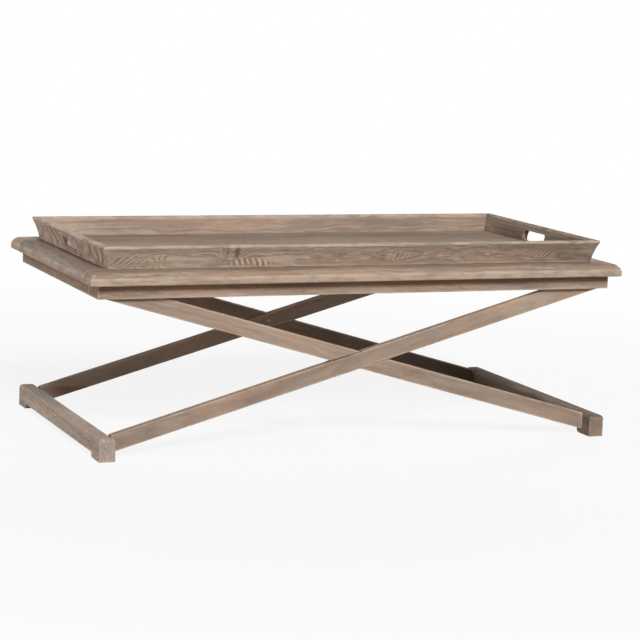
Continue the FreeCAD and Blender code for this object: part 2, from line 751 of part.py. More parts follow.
def tray_pins():
    """Two pins through each mitred corner of the tray."""
    pins = []
    for side_x in (-1, 1):
        for side_y in (-1, 1):
            for share in (LOW_PIN_SHARE, HIGH_PIN_SHARE):
                start_x, start_y = pin_start(side_x, side_y, share, size("pin_length"))
                start = (start_x, start_y, f"{TRAY_BOTTOM} + {share} * {size('tray_height')}")
                rotation = pin_rotation(side_x, side_y)
                pins.append(cylinder("pin", size("pin_radius"), size("pin_length"), start, rotation))
    group("tray_corner_pins", pins)


def leg_screws():
    """Screws from the top of the frame down into the legs."""
    screws = []
    for across in LEG_SCREW_PLACES:
        for side in ("-", ""):
            for end in ("-", ""):
                start = (f"{side}{across}", f"{end}{LEG_MIDDLE_Y}", BOARD_BOTTOM)
                screws.append(screw("leg_screw", size("screw_length"), start, DOWN))
    group("leg_screws", screws)


def board_screws():
    """Screws from under the frame up into the top board."""
    starts = [(across, f"{end}{BOARD_SCREW_Y}") for across in BOARD_SCREW_PLACES for end in ("-", "")]
    starts += [(f"{side}{END_SCREW_X}", f"{end}{size('end_screw_offset')}")
               for side in ("-", "") for end in ("-", "")]
    screws = [screw("board_screw", size("screw_length"), (x, y, size("floor_to_apron")), UP)
              for x, y in starts]
    group("board_screws", screws)


def crossing_screws():
    """One screw through each crossing, from the inner face."""
    length = size("crossing_screw_length")
    front = screw("crossing_screw", length, ("0", f"-{LEG_INNER_Y}", CROSSING_Z), AGAINST_Y)
    back = screw("crossing_screw", length, ("0", LEG_INNER_Y, CROSSING_Z), ALONG_Y)
    group("crossing_screws", [front, back])


def write_parts():
    """Checks every object, then writes each sub-part to its own file."""
    doc.recompute()
    failed = [item.Name for item in doc.Objects if {"Invalid", "Error"} & set(item.State)]
    failed += [item.Name for item in doc.Objects if item.TypeId == "PartDesign::Pocket"
               and item.Shape.Volume >= item.BaseFeature.Shape.Volume]
    if failed:
        raise RuntimeError("failed objects, or pockets that cut nothing: " + ", ".join(failed))
    kinds = ("PartDesign::Body", "Part::Compound")
    parts = [item for item in doc.Objects
             if item.TypeId in kinds or (item.TypeId == "Part::Box" and not item.InList)]
    for part in parts:
        if part.Shape.isNull() or not part.Shape.isValid():
            raise RuntimeError("bad shape: " + part.Label)
    os.makedirs("parts", exist_ok=True)
    for part in parts:
        part.Shape.exportStep(os.path.join("parts", part.Label + ".step"))
        print(part.Label, len(part.Shape.Solids), round(part.Shape.Volume))


board_edge("board_edge_front", NO_TURN)
board_edge("board_edge_back", HALF_TURN)
board_end("board_end_left", NO_TURN)
board_end("board_end_right", HALF_TURN)
for plank_index in range(PLANK_COUNT):
    field_plank(plank_index)
dowels("board_dowels", INNER_Y, f"{BOARD_BOTTOM} + {size('board_thickness')} / 2", edge_dowel_places())
apron_long("apron_front", NO_TURN)
apron_long("apron_back", HALF_TURN)
apron_member("apron_left", NO_TURN, APRON_MIDDLE_X, size("apron_member_width"), END_SCREW_X)
apron_member("apron_right", HALF_TURN, APRON_MIDDLE_X, size("apron_member_width"), END_SCREW_X)
apron_member("cross_bar_left", NO_TURN, size("cross_bar_offset"), size("cross_bar_width"))
apron_member("cross_bar_right", HALF_TURN, size("cross_bar_offset"), size("cross_bar_width"))
dowels("apron_dowels", APRON_INNER_Y, f"{size('floor_to_apron')} + {size('apron_height')} / 2",
       frame_dowel_places())
leg("front_leg_falling_right", NO_TURN, falls_right=True)
leg("front_leg_falling_left", NO_TURN, falls_right=False)
leg("back_leg_falling_left", HALF_TURN, falls_right=True)
leg("back_leg_falling_right", HALF_TURN, falls_right=False)
floor_rail("floor_rail_left", NO_TURN)
floor_rail("floor_rail_right", HALF_TURN)
leg_screws()
board_screws()
crossing_screws()
tray_side("tray_wall_front", NO_TURN)
tray_side("tray_wall_back", HALF_TURN)
tray_end("tray_wall_left", NO_TURN)
tray_end("tray_wall_right", HALF_TURN)
tray_floor()
tray_pins()
write_parts()
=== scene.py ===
"""Looks of the coffee table: every wooden piece as a worn, eased board with grain of its own."""

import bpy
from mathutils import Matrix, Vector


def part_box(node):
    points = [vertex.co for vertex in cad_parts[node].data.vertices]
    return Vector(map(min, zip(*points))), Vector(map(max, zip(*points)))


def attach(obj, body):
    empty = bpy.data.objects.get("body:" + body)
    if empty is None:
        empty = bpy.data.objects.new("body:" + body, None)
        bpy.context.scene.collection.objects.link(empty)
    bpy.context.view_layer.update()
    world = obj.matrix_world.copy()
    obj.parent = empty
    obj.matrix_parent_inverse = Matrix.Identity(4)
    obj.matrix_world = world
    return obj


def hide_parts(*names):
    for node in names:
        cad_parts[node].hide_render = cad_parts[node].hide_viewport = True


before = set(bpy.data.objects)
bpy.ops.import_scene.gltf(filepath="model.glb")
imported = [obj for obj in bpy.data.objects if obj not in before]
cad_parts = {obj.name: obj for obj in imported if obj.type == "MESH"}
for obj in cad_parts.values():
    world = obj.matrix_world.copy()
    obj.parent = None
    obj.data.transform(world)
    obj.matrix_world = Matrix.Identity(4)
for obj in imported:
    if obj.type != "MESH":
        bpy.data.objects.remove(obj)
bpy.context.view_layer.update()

import math
from collections import namedtuple

import bmesh
import bpy
from mathutils import Matrix, Vector, noise

# Sizes of the moulded shapes, in metres, as in the solids
NOSE_WIDTH = 0.021
NOSE_HEIGHT = 0.020
NOSE_LOWER_ROUND = 0.0035
TRAY_FLARE = 0.0145
TRAY_LIP = 0.0055
TRAY_RIM = 0.015
TRAY_FOOT = 0.031
COVE_DEPTH = 0.002
SLOT_LENGTH = 0.110
SLOT_HEIGHT = 0.026
SLOT_TOP_MARGIN = 0.016
SLOT_CORNER = 0.009
FOOT_LENGTH = 0.062
FOOT_HEIGHT = 0.012
FOOT_ROUND = 0.010
RAIL_ROUND = 0.009
LEG_WIDTH = 0.0385
LEG_HEEL = 0.013

# Sunk screw heads, with a little room round them
SCREW_HOLE = 0.0021
SCREW_HEAD = 0.0041
SCREW_HEAD_DEPTH = 0.0025
BOARD_SCREW_OFFSET = 0.4
BOARD_SCREW_Y = 0.2615
END_SCREW_OFFSET = 0.12
END_SCREW_X = 0.631

# Finish of the mesh work
NOSE_STEPS = 12
COVE_STEPS = 10
CORNER_STEPS = 6
RAIL_ROUND_STEPS = 8
CONE_SIDES = 24
EASE = 0.0008
BAR_EASE = 0.001
EASE_STEPS = 3
ARRIS_ANGLE = math.radians(20)
LOOP_MARGIN = 0.005
STEP = 0.012
LONG_SHARE = 0.6
END_SLACK = 0.001
EDGE_SLACK = 0.0005
END_GRAIN_FROM = 0.6
SHADING_WEIGHT = 90

# Cutters reach this far past what they cut
HEAD_OVERRUN = 0.001
LAP_OVERRUN = 0.005
LAP_MARGIN = 0.01
SLOT_OVERRUN = 0.05

# Wear, partly painted highlight, and brown painted shade under the board
WORN_ANGLE = math.radians(9)
WEAR_SHIFT = (3.1, 1.7)
SMALL_WEAR = 0.00022
WEAR_SCALE = 90
DENT_DEPTH = 0.0022
DENT_SCALE = 28
DENT_FROM = 0.42
RAIL_PALE = 0.4
# The moulded edge: a painted highlight line, and a face that is paler from wear and painted highlight
NOSE_HIGHLIGHT_LINE = 0.0155
NOSE_PALE_TO = 0.021
NOSE_PALE_INSET = 0.008
NOSE_FADE = 0.003
NOSE_FACE_PALE = 0.7
# Paleness of the rims and lips, from wear and painted highlight
RIM_PALE = 0.8
# Brown painted shade in a band close under the board
UNDER_BOARD_SHADE = 0.65
UNDER_BOARD_SHADE_DEPTH = 0.018
UNDER_BOARD_SHADE_FADE = 0.008

# Each board's seeds of wear and grain, how far the middle of its log lies across and through it, and the
# tones of its two ends, partly their own and partly painted light and shade
Board = namedtuple("Board", "wear_seed grain_seed heart shades")
BOARDS = {
    "board_edge_front": Board(0, 1, (0.01, 0.05), (-0.18, -0.22)),
    "board_edge_back": Board(1, 2, (0.01, 0.05), (-0.06, -0.04)),
    "board_end_left": Board(2, 3, (0.02, 0.06), (-0.28, -0.34)),
    "board_end_right": Board(3, 4, (0.02, 0.06), (-0.1, -0.12)),
    "top_plank_1": Board(4, 5, (-0.04, 0.07), (0.0, 0.05)),
    "top_plank_2": Board(5, 6, (-0.01, 0.07), (0.06, 0.0)),
    "top_plank_3": Board(6, 7, (0.02, 0.07), (-0.05, 0.04)),
    "top_plank_4": Board(7, 8, (0.05, 0.07), (0.03, -0.03)),
    "apron_front": Board(8, 9, (0.0, 0.09), (0.0, -0.04)),
    "apron_back": Board(9, 10, (0.01, 0.09), (-0.04, 0.02)),
    "apron_left": Board(10, 11, (0.02, 0.09), (-0.16, -0.2)),
    "apron_right": Board(11, 12, (0.03, 0.09), (-0.02, 0.04)),
    "cross_bar_left": Board(12, 13, (0.04, 0.09), (0.04, 0.0)),
    "cross_bar_right": Board(13, 14, (0.05, 0.09), (-0.06, 0.0)),
    "front_leg_falling_right": Board(14, 15, (0.0, 0.05), (0.06, -0.16)),
    "front_leg_falling_left": Board(15, 16, (0.008, 0.05), (0.0, -0.02)),
    "back_leg_falling_left": Board(16, 17, (0.016, 0.05), (-0.5, 0.35)),
    "back_leg_falling_right": Board(17, 18, (0.024, 0.05), (-0.05, -0.7)),
    "floor_rail_left": Board(18, 19, (0.02, 0.06), (0.23, 0.12)),
    "floor_rail_right": Board(19, 20, (0.02, 0.06), (-0.5, -0.6)),
    "tray_wall_front": Board(20, 21, (0.015, 0.03), (0.15, -0.28)),
    "tray_wall_back": Board(21, 22, (0.015, 0.03), (0.2, -0.2)),
    "tray_wall_left": Board(22, 23, (0.015, 0.03), (-0.1, -0.04)),
    "tray_wall_right": Board(23, 24, (0.015, 0.03), (-0.24, -0.3)),
    "tray_floor": Board(24, 27, (0.02, 0.08), (-0.16, -0.22)),
}
SEED_SPACING = 2.37

X = Vector((1, 0, 0))
Y = Vector((0, 1, 0))
Z = Vector((0, 0, 1))


# Outlines
def arc(centre, radius, start, end, count):
    """Points on an arc, angles in degrees, both ends included."""
    points = []
    for index in range(count + 1):
        angle = math.radians(start + (end - start) * index / count)
        points.append((centre[0] + radius * math.cos(angle), centre[1] + radius * math.sin(angle)))
    return points


def nose_levels(thickness):
    """(inset, height) pairs up the moulded edge of the top board."""
    low = NOSE_LOWER_ROUND
    levels = [(low - (x - low), z) for x, z in arc((low, low), low, -90, 0, NOSE_STEPS)]
    radius = (NOSE_WIDTH ** 2 + NOSE_HEIGHT ** 2) / (2 * NOSE_HEIGHT)
    start = math.degrees(math.asin(NOSE_WIDTH / radius))
    for index in range(NOSE_STEPS + 1):
        angle = math.radians(start * (1 - index / NOSE_STEPS))
        inset = NOSE_WIDTH - radius * math.sin(angle)
        levels.append((inset, thickness - radius + radius * math.cos(angle)))
    return levels


def tray_levels(height):
    """(outer inset, inner inset, height) up a tray wall: a cove, an upright lip and a flat rim."""
    low = Vector((TRAY_FLARE, 0))
    high = Vector((0, height - TRAY_LIP))
    chord = high - low
    across = Vector((chord.y, -chord.x)).normalized()
    radius = ((chord.length / 2) ** 2 + COVE_DEPTH ** 2) / (2 * COVE_DEPTH)
    centre = (low + high) / 2 - across * (radius - COVE_DEPTH)
    reach = math.asin(chord.length / 2 / radius)
    levels = []
    for index in range(COVE_STEPS + 1):
        angle = reach * (2 * index / COVE_STEPS - 1)
        point = centre + across * (radius * math.cos(angle))
        point += chord.normalized() * (radius * math.sin(angle))
        levels.append((point.x, point.y))
    levels.append((0, height))
    lean = (TRAY_FOOT - TRAY_RIM) / height
    return [(outer, TRAY_FOOT - lean * z, z) for outer, z in levels]


# Meshes
def loft(rings):
    """A closed solid through rings of corners that follow each other."""
    bm = bmesh.new()
    rows = [[bm.verts.new(corner) for corner in ring] for ring in rings]
    count = len(rows[0])
    for low, high in zip(rows, rows[1:]):
        for here in range(count):
            there = (here + 1) % count
            bm.faces.new((low[here], low[there], high[there], high[here]))
    bm.faces.new(list(reversed(rows[0])))
    bm.faces.new(rows[-1])
    bmesh.ops.recalc_face_normals(bm, faces=bm.faces)
    return bm


def block(low, high):
    """A plain bar between two corners."""
    rings = []
    for z in (low[2], high[2]):
        rings.append([(low[0], low[1], z), (high[0], low[1], z),
                      (high[0], high[1], z), (low[0], high[1], z)])
    return loft(rings)


def sharp_edges(bm, angle):
    """Edges at which the surface turns by more than the angle."""
    return [edge for edge in bm.edges if len(edge.link_faces) == 2 and edge.calc_face_angle(0) > angle]


def bevel(bm, edges, width, segments):
    """Rounds edges to the given width."""
    bmesh.ops.bevel(bm, geom=edges, offset=width, offset_type="OFFSET", segments=segments, profile=0.5,
                    affect="EDGES", clamp_overlap=False)


def ease(bm, width=EASE):
    """Takes the sharpness off every arris."""
    bevel(bm, sharp_edges(bm, ARRIS_ANGLE), width, EASE_STEPS)


def split(bm, point, normal):
    """Adds a loop of edges where a plane cuts the mesh."""
    everything = bm.verts[:] + bm.edges[:] + bm.faces[:]
    bmesh.ops.bisect_plane(bm, geom=everything, dist=1e-6, plane_co=point, plane_no=normal)


def add_loops(bm, axes, stops=()):
    """Loops near every arris, which keep its wear narrow, and even stations along the length.

    stops are places along the board where more loops go, with stations of their own between them.
    """
    for axis in axes:
        reaches = [vertex.co.dot(axis) for vertex in bm.verts]
        for reach in (min(reaches) + LOOP_MARGIN, max(reaches) - LOOP_MARGIN):
            split(bm, axis * reach, axis)
    along = axes[0]
    for stop in stops:
        split(bm, along * stop, along)
    reaches = [vertex.co.dot(along) for vertex in bm.verts]
    places = [min(reaches)] + sorted(stops) + [max(reaches)]
    for start, end in zip(places, places[1:]):
        long_edges = []
        for edge in bm.edges:
            ends = sorted(vertex.co.dot(along) for vertex in edge.verts)
            inside = start - END_SLACK < ends[0] and ends[1] < end + END_SLACK
            if inside and ends[1] - ends[0] > LONG_SHARE * (end - start):
                long_edges.append(edge)
        cuts = int((end - start) / STEP)
        bmesh.ops.subdivide_edges(bm, edges=long_edges, cuts=cuts, use_grid_fill=True)


def worn_points(bm):
    """Vertices that lie on an eased arris."""
    bm.normal_update()
    return {vertex for edge in sharp_edges(bm, WORN_ANGLE) for vertex in edge.verts}


def wear(bm, node, pale=1.0):
    """Notes how pale the vertices on an arris are, then rubs and dents them, always inwards."""
    seed = BOARDS[node].wear_seed
    worn_and_highlit = bm.verts.layers.float.new("worn_and_highlit")
    moves = []
    for vertex in worn_points(bm):
        vertex[worn_and_highlit] = pale
        place = vertex.co + Vector((seed * WEAR_SHIFT[0], seed * WEAR_SHIFT[1], 0))
        rub = SMALL_WEAR * (0.5 + 0.5 * noise.noise(place * WEAR_SCALE))
        dent = max(noise.noise(place * DENT_SCALE) - DENT_FROM, 0) * DENT_DEPTH
        moves.append((vertex, vertex.normal * -(rub + dent)))
    for vertex, move in moves:
        vertex.co += move


def as_object(bm, name):
    """A bmesh as an object in the scene."""
    mesh = bpy.data.meshes.new(name)
    bm.to_mesh(mesh)
    bm.free()
    item = bpy.data.objects.new(name, mesh)
    bpy.context.scene.collection.objects.link(item)
    return item


def carve(bm, cutters):
    """Cuts other closed solids out of one."""
    target = as_object(bm, "carved")
    tools = [as_object(cutter, "cutter") for cutter in cutters]
    for tool in tools:
        cut = target.modifiers.new("cut", "BOOLEAN")
        cut.operation = "DIFFERENCE"
        cut.solver = "MANIFOLD"
        cut.object = tool
    ready = target.evaluated_get(bpy.context.evaluated_depsgraph_get())
    result = bmesh.new()
    result.from_mesh(ready.to_mesh())
    ready.to_mesh_clear()
    for item in [target] + tools:
        mesh = item.data
        bpy.data.objects.remove(item)
        bpy.data.meshes.remove(mesh)
    return result


def cone(tip_radius, base_radius, start, direction, depth):
    """A short cone from start, along direction, for the head of a screw."""
    turn = direction.to_track_quat("Z", "Y").to_matrix()
    rings = []
    for radius, reach in ((base_radius, -HEAD_OVERRUN), (base_radius, 0.0), (tip_radius, depth)):
        circle = arc((0, 0), radius, 0, 360 - 360 / CONE_SIDES, CONE_SIDES - 1)
        rings.append([start + turn @ Vector((x, y, reach)) for x, y in circle])
    return loft(rings)


def dress(bm, node, axes, material, wear_and_highlight=None, brown_painted_shade=None, painted_light=None):
    """Stores the grain of one board in its mesh and puts the board in the place of its node.

    axes are the board's directions along, across and through it. The three marks tell how pale a place is
    from wear and painted highlight, how much brown painted shade it has, and what painted light and shade
    add to its tone.
    """
    board = BOARDS[node]
    grain = bm.verts.layers.float_vector.new("grain")
    worn_and_highlit = bm.verts.layers.float["worn_and_highlit"]
    shade = bm.verts.layers.float.new("tone_and_painted_light")
    painted_shade = bm.verts.layers.float.new("painted_shade")
    ends = bm.faces.layers.float.new("end_grain")
    low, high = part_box(node)
    middle = (low + high) / 2
    half = max(high - low) / 2
    shift = Vector((board.grain_seed * SEED_SPACING, *board.heart))
    for vertex in bm.verts:
        place = vertex.co - middle
        along = place.dot(axes[0])
        vertex[grain] = Vector([place.dot(axis) for axis in axes]) + shift
        share = min(max(0.5 + 0.5 * along / half, 0), 1)
        # The tone along the board, partly its own and partly painted light and shade
        vertex[shade] = board.shades[0] + (board.shades[1] - board.shades[0]) * share
        if wear_and_highlight:
            vertex[worn_and_highlit] = max(vertex[worn_and_highlit], wear_and_highlight(vertex.co))
        if brown_painted_shade:
            vertex[painted_shade] = brown_painted_shade(vertex.co)
        if painted_light:
            vertex[shade] += painted_light(vertex.co)
    for face in bm.faces:
        face.smooth = True
        face[ends] = float(abs(face.normal.dot(axes[0])) > END_GRAIN_FROM)
    piece = as_object(bm, node + "_wood")
    piece.data.materials.append(material)
    even = piece.modifiers.new("even_shading", "WEIGHTED_NORMAL")
    even.weight = SHADING_WEIGHT
    body = "tray" if node.startswith("tray") else "table"
    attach(piece, body)
    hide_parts(node)


# Nodes of the materials
def srgb(red, green, blue):
    """A colour on a 0 to 255 scale, as the shader's linear values."""
    def linear(value):
        value /= 255
        return value / 12.92 if value <= 0.04045 else ((value + 0.055) / 1.055) ** 2.4
    return (linear(red), linear(green), linear(blue), 1.0)


class Tree:
    """Short ways to add nodes to one node tree."""

    def __init__(self, tree):
        self.tree = tree

    def add(self, kind, settings=None, **inputs):
        """A node whose inputs are values or other sockets. The underscore in a name is a space."""
        node = self.tree.nodes.new("ShaderNode" + kind)
        for word, value in (settings or {}).items():
            setattr(node, word, value)
        for word, value in inputs.items():
            key = int(word[1:]) if word[0] == "i" and word[1:].isdigit() else word.replace("_", " ")
            self.put(node.inputs[key], value)
        return node

    def put(self, socket, value):
        """Links a socket, or sets its value."""
        if isinstance(value, bpy.types.NodeSocket):
            self.tree.links.new(value, socket)
        else:
            socket.default_value = value

    def math(self, operation, first, second=0.0, clamp=False):
        """One number from one or two numbers."""
        node = self.add("Math", {"operation": operation, "use_clamp": clamp}, i0=first, i1=second)
        return node.outputs[0]

    def vector(self, operation, first, second=(0.0, 0.0, 0.0)):
        """One vector from two vectors."""
        node = self.add("VectorMath", {"operation": operation}, i0=first, i1=second)
        return node.outputs[0]

    def length(self, place):
        """How far a place is from the origin."""
        return self.add("VectorMath", {"operation": "LENGTH"}, i0=place).outputs["Value"]

    def noise(self, place, stretch, detail=2.0, roughness=0.5, shift=0.0):
        """Noise of a place whose three directions are stretched, per metre."""
        moved = self.vector("ADD", self.vector("MULTIPLY", place, stretch), (shift, shift, shift))
        return self.add("TexNoise", None, Vector=moved, Scale=1.0, Detail=detail, Roughness=roughness)

    def span(self, value, low, high, new_low=0.0, new_high=1.0, smooth=True):
        """Maps a number from one span to another, held at both ends."""
        kind = "SMOOTHSTEP" if smooth else "LINEAR"
        node = self.add("MapRange", {"interpolation_type": kind}, Value=value, From_Min=low, From_Max=high,
                        To_Min=new_low, To_Max=new_high)
        return node.outputs[0]

    def mix(self, share, first, second, blend="MIX"):
        """Two colours mixed by a share."""
        node = self.add("Mix", {"data_type": "RGBA", "blend_type": blend}, i0=share, i6=first, i7=second)
        return node.outputs[2]


def new_material(name):
    """An empty node material with its output."""
    material = bpy.data.materials.new(name)
    material.use_nodes = True
    material.node_tree.nodes.clear()
    tree = Tree(material.node_tree)
    output = tree.add("OutputMaterial")
    return material, tree, output


# Colours that the woods share, and how many chance knots there may be along and across a metre
KNOT_BROWN = srgb(96, 66, 56)
# Brown of the painted shade under the board
PAINTED_SHADE_BROWN = srgb(112, 74, 44)
# Pale of worn arrises, also the colour of the painted highlights on the nose and rims
WORN_AND_HIGHLIT_WOOD = srgb(214, 192, 168)
COOL_TINT = (0.965, 1.0, 0.995, 1.0)
WARM_TINT = (1.055, 0.985, 0.96, 1.0)
WOOD_SHEEN = 0.1
CELLS_PER_METRE = (2.1, 7.0)


def wood(name, pale, middle, dark, ring_width=0.006, ring_depth=0.5, swirl=1.6, streak=0.5,
         dashes=1.0, knot_share=0.2, knots=(), curls=()):
    """Limed and weathered wood. Its grain follows each board's own directions.

    knots is a list of (place along, place across, size of the dark core, reach of the rings round it,
    darkness), and curls, where the grain shows as short strokes, one of (place along, place across,
    half length, half width, lean and spacing of the strokes, depth), in the board's grain coordinates.
    """
    material, tree, output = new_material(name)
    place = tree.add("Attribute", {"attribute_name": "grain"}).outputs["Vector"]
    worn_and_highlit, end_grain, tone_and_painted_light, painted_shade = [
        tree.add("Attribute", {"attribute_name": word}).outputs["Fac"]
        for word in ("worn_and_highlit", "end_grain", "tone_and_painted_light", "painted_shade")
    ]

    # Growth rings round a heart that wanders along the board
    wander = tree.noise(place, (1.7, 0.0, 0.0), detail=1.0, shift=3.0).outputs["Color"]
    wander = tree.vector("MULTIPLY", tree.vector("SUBTRACT", wander, (0.5, 0.5, 0.5)), (0.0, 0.05, 0.06))
    bend = tree.noise(place, (7.0, 24.0, 24.0), shift=11.0).outputs["Color"]
    bend = tree.vector("MULTIPLY", tree.vector("SUBTRACT", bend, (0.5, 0.5, 0.5)), (0.0, 0.012, 0.012))
    heart_place = tree.vector("ADD", tree.vector("ADD", place, wander), bend)
    heart_place = tree.vector("MULTIPLY", heart_place, (0.0, 1.0, 1.0))
    reach = tree.length(heart_place)
    curl = tree.noise(place, (9.0, 26.0, 26.0), detail=1.5, shift=23.0).outputs["Fac"]
    phase = tree.math("ADD", tree.math("DIVIDE", reach, ring_width), tree.math("MULTIPLY", curl, swirl))

    # Knots push the rings aside and darken their middles: some by chance, some where they are named
    knot_dark = 0.0
    if knot_share > 0:
        stretched = tree.vector("MULTIPLY", place, (*CELLS_PER_METRE, 0.0))
        cells = tree.add("TexVoronoi", {"voronoi_dimensions": "2D"}, Vector=stretched, Scale=1.0)
        chance = tree.add("SeparateColor", None, Color=cells.outputs["Color"]).outputs
        offset = tree.vector("SUBTRACT", stretched, cells.outputs["Position"])
        offset = tree.vector("MULTIPLY", offset, (0.75 / CELLS_PER_METRE[0], 1 / CELLS_PER_METRE[1], 0.0))
        away = tree.length(offset)
        away = tree.math("MULTIPLY", away, tree.span(chance["Green"], 0.0, 1.0, 1.0, 2.2, smooth=False))
        here = tree.math("LESS_THAN", chance["Red"], knot_share)
        phase = tree.math("ADD", phase, tree.math("MULTIPLY", here, tree.span(away, 0.04, 0.0, 0.0, 3.5)))
        knot_dark = tree.math("MULTIPLY", here, tree.span(away, 0.010, 0.004))
    uneven = tree.vector("ADD", place, tree.vector("MULTIPLY", bend, (3.0, 3.0, 0.0)))
    for along, across, core, reach, darkness in knots:
        offset = tree.vector("SUBTRACT", uneven, (along, across, 0.0))
        ring = tree.length(tree.vector("MULTIPLY", offset, (0.7, 1.0, 0.0)))
        phase = tree.math("ADD", phase, tree.span(ring, reach, 0.0, 0.0, reach / 2 / ring_width))
        spike = tree.length(tree.vector("MULTIPLY", offset, (1.8, 0.55, 0.0)))
        knot_dark = tree.math("MAXIMUM", knot_dark, tree.span(spike, core, core * 0.3, 0.0, darkness))
    strokes = 0.0
    for along, across, length, width, lean, spacing, depth in curls:
        offset = tree.vector("SUBTRACT", uneven, (along, across, 0.0))
        away = tree.length(tree.vector("MULTIPLY", offset, (1 / length, 1 / width, 0.0)))
        run = tree.add("VectorMath", {"operation": "DOT_PRODUCT"},
                       i0=offset, i1=(1.0, lean, 0.0)).outputs["Value"]
        turns = tree.math("ADD", tree.math("DIVIDE", run, spacing), tree.math("MULTIPLY", curl, 1.5))
        stroke = tree.math("SINE", tree.math("MULTIPLY", turns, 2 * math.pi))
        stroke = tree.math("MULTIPLY", stroke, tree.span(away, 1.0, 0.5, 0.0, depth))
        strokes = tree.math("ADD", strokes, stroke)

    wave = tree.math("SINE", tree.math("MULTIPLY", phase, 2 * math.pi))
    wave = tree.math("ADD", tree.math("MULTIPLY", wave, 0.5), 0.5)
    late = tree.math("POWER", wave, 2.0)
    broken = tree.noise(place, (8.0, 60.0, 60.0), shift=5.0).outputs["Fac"]
    late = tree.math("MULTIPLY", late, tree.span(broken, 0.35, 0.62, 0.15, 1.0))

    # Long fibres, short dashes, fine pores and broad patches
    fibre = tree.noise(place, (7.0, 190.0, 190.0), detail=3.0, roughness=0.6, shift=41.0).outputs["Fac"]
    dash = tree.noise(place, (36.0, 300.0, 300.0), roughness=0.6, shift=49.0).outputs["Fac"]
    pore = tree.noise(place, (60.0, 1100.0, 1100.0), roughness=0.6, shift=57.0).outputs["Fac"]
    patch = tree.noise(place, (4.0, 15.0, 15.0), detail=3.0, roughness=0.55, shift=71.0).outputs["Fac"]
    warmth = tree.noise(place, (5.0, 24.0, 24.0), shift=83.0).outputs["Fac"]
    busy = tree.noise(place, (5.0, 30.0, 30.0), detail=1.0, shift=91.0).outputs["Fac"]
    busy = tree.span(busy, 0.4, 0.6, 0.35, 1.0)
    dashed = tree.math("MULTIPLY", busy, dashes)

    colour = tree.mix(tree.math("MULTIPLY", late, ring_depth), middle, dark)
    lime = tree.math("MULTIPLY", tree.math("SUBTRACT", 1.0, wave), tree.span(broken, 0.4, 0.6))
    colour = tree.mix(tree.math("MULTIPLY", lime, 0.8 * ring_depth), colour, pale)
    fibres = tree.math("MULTIPLY", busy, streak)
    colour = tree.mix(tree.math("MULTIPLY", tree.span(fibre, 0.5, 0.7), fibres), colour, pale)
    colour = tree.mix(tree.math("MULTIPLY", tree.span(fibre, 0.5, 0.28), fibres), colour, dark)
    colour = tree.mix(tree.math("MULTIPLY", tree.span(dash, 0.55, 0.72), dashed), colour, pale)
    colour = tree.mix(tree.math("MULTIPLY", tree.span(dash, 0.43, 0.27), dashed), colour, dark)
    colour = tree.mix(tree.math("MULTIPLY", tree.span(pore, 0.56, 0.68), 0.35), colour, dark)
    if curls:
        patchy = tree.noise(place, (30.0, 60.0, 60.0), detail=1.0, shift=13.0).outputs["Fac"]
        strokes = tree.math("MULTIPLY", strokes, tree.span(patchy, 0.35, 0.6, 0.15, 1.0))
        colour = tree.mix(tree.math("MULTIPLY", strokes, 1.0, clamp=True), colour, pale)
        colour = tree.mix(tree.math("MULTIPLY", strokes, -1.0, clamp=True), colour, dark)
    # Random patches times each board's tone, which also holds painted light and shade
    light = tree.span(patch, 0.32, 0.68, 0.8, 1.18, smooth=False)
    light = tree.math("MULTIPLY", light, tree.math("ADD", tone_and_painted_light, 1.0))
    light = tree.math("MULTIPLY", light, tree.math("SUBTRACT", 1.0, tree.math("MULTIPLY", end_grain, 0.1)))
    grey = tree.add("CombineColor", None, Red=light, Green=light, Blue=light).outputs[0]
    colour = tree.mix(1.0, colour, grey, "MULTIPLY")
    warm = tree.mix(tree.span(warmth, 0.35, 0.65), COOL_TINT, WARM_TINT)
    colour = tree.mix(1.0, colour, warm, "MULTIPLY")
    colour = tree.mix(tree.math("MULTIPLY", knot_dark, 0.7), colour, KNOT_BROWN)
    # Brown painted shade close under the board
    colour = tree.mix(painted_shade, colour, PAINTED_SHADE_BROWN)

    # Rubbed arrises are paler, with gaps; on the nose and the rims this paleness is partly painted highlight
    wear_and_highlight = tree.noise(place, (22.0, 60.0, 60.0), shift=97.0).outputs["Fac"]
    rub = tree.math("MULTIPLY", tree.math("POWER", worn_and_highlit, 1.4), tree.span(wear_and_highlight, 0.36, 0.62, 0.25, 0.75))
    colour = tree.mix(rub, colour, tree.mix(0.6, pale, WORN_AND_HIGHLIT_WOOD))

    rough = tree.span(fibre, 0.3, 0.7, 0.88, 0.74)
    rough = tree.math("SUBTRACT", rough, tree.math("MULTIPLY", rub, 0.1))
    relief = tree.math("ADD", tree.math("MULTIPLY", late, 0.5), tree.math("MULTIPLY", fibre, 0.6))
    relief = tree.math("SUBTRACT", relief, tree.math("MULTIPLY", tree.span(pore, 0.56, 0.7), 0.5))
    relief = tree.math("SUBTRACT", relief, tree.math("MULTIPLY", knot_dark, 0.8))
    bump = tree.add("Bump", None, Strength=0.55, Distance=0.0006, Height=relief).outputs["Normal"]
    shader = tree.add("BsdfPrincipled", None, Base_Color=colour, Roughness=rough, Normal=bump,
                      Specular_IOR_Level=WOOD_SHEEN)
    tree.put(output.inputs["Surface"], shader.outputs[0])
    return material


TOP_WOOD = wood("top_wood_limed", srgb(208, 188, 171), srgb(181, 158, 140), srgb(141, 117, 101),
                ring_width=0.008, ring_depth=0.35, swirl=1.4, streak=0.45)
